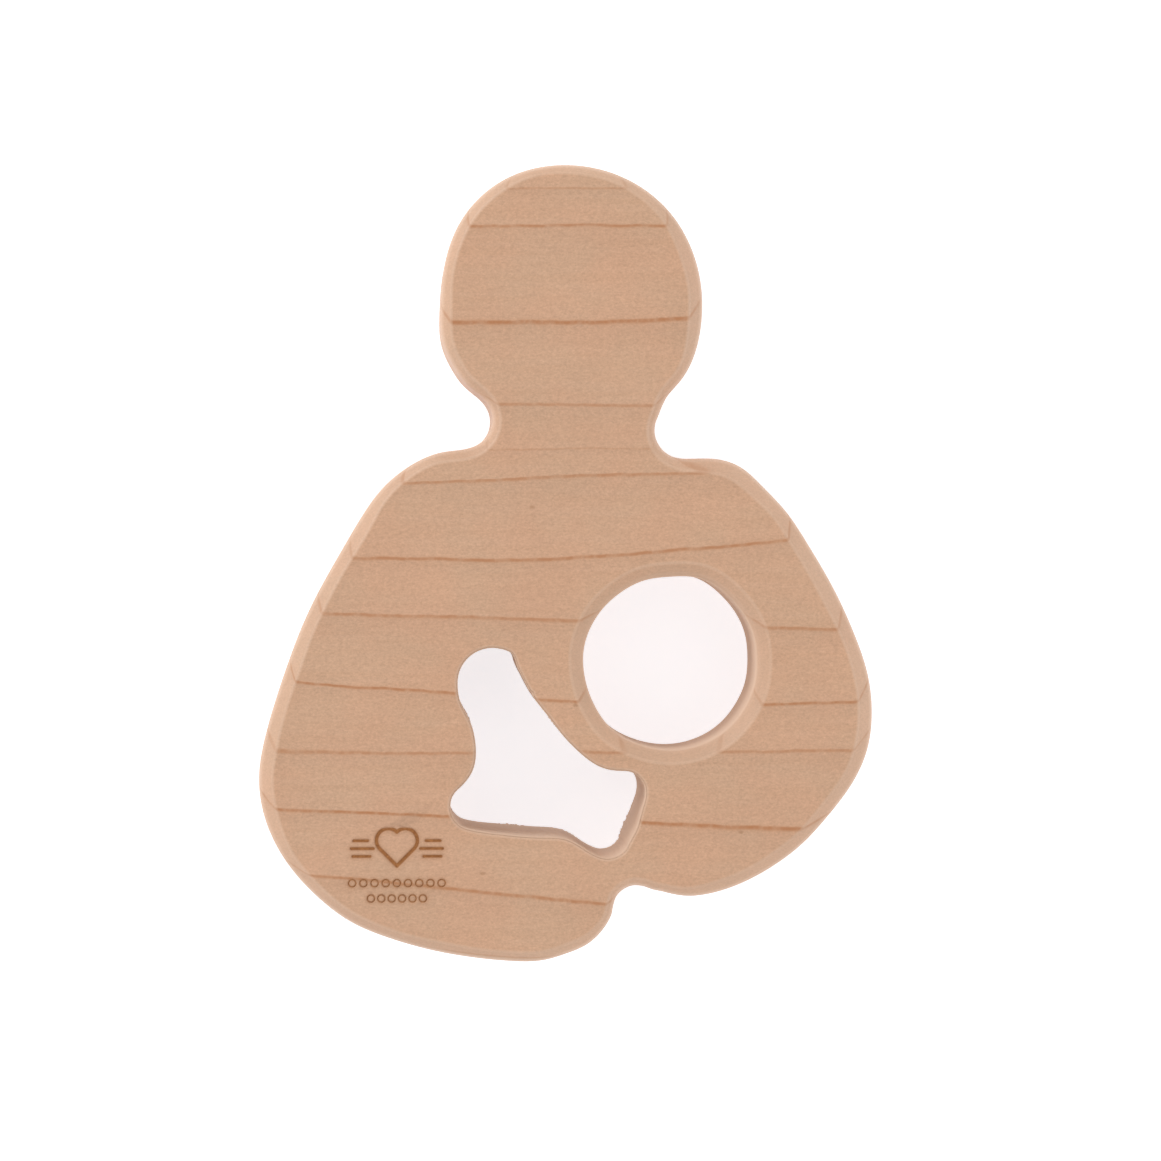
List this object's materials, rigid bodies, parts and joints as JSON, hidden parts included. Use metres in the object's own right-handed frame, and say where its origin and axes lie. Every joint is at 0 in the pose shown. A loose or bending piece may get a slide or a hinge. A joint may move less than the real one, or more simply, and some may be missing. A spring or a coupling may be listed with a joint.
{
  "type": "wooden teether",
  "caption": "Flat maple teether cut as a mother nursing her baby: a round hole is the baby's head, a slanted opening its body, and all face edges are chamfered or eased.",
  "frame": {"origin": "middle of the back face: the centre of the bounding box in X and Y, at the bottom in Z", "axes": "+Z through the board's thickness, out of the front face; +Y towards the mother's head; +X to the right as the front face is seen, the side with the round hole"},
  "size_m": [0.0784, 0.1016, 0.019],
  "materials": {
    "maple": "sanded maple with a satin oil and wax finish"
  },
  "bodies": {
    "root": {"body": "maple"}
  },
  "joints": []
}
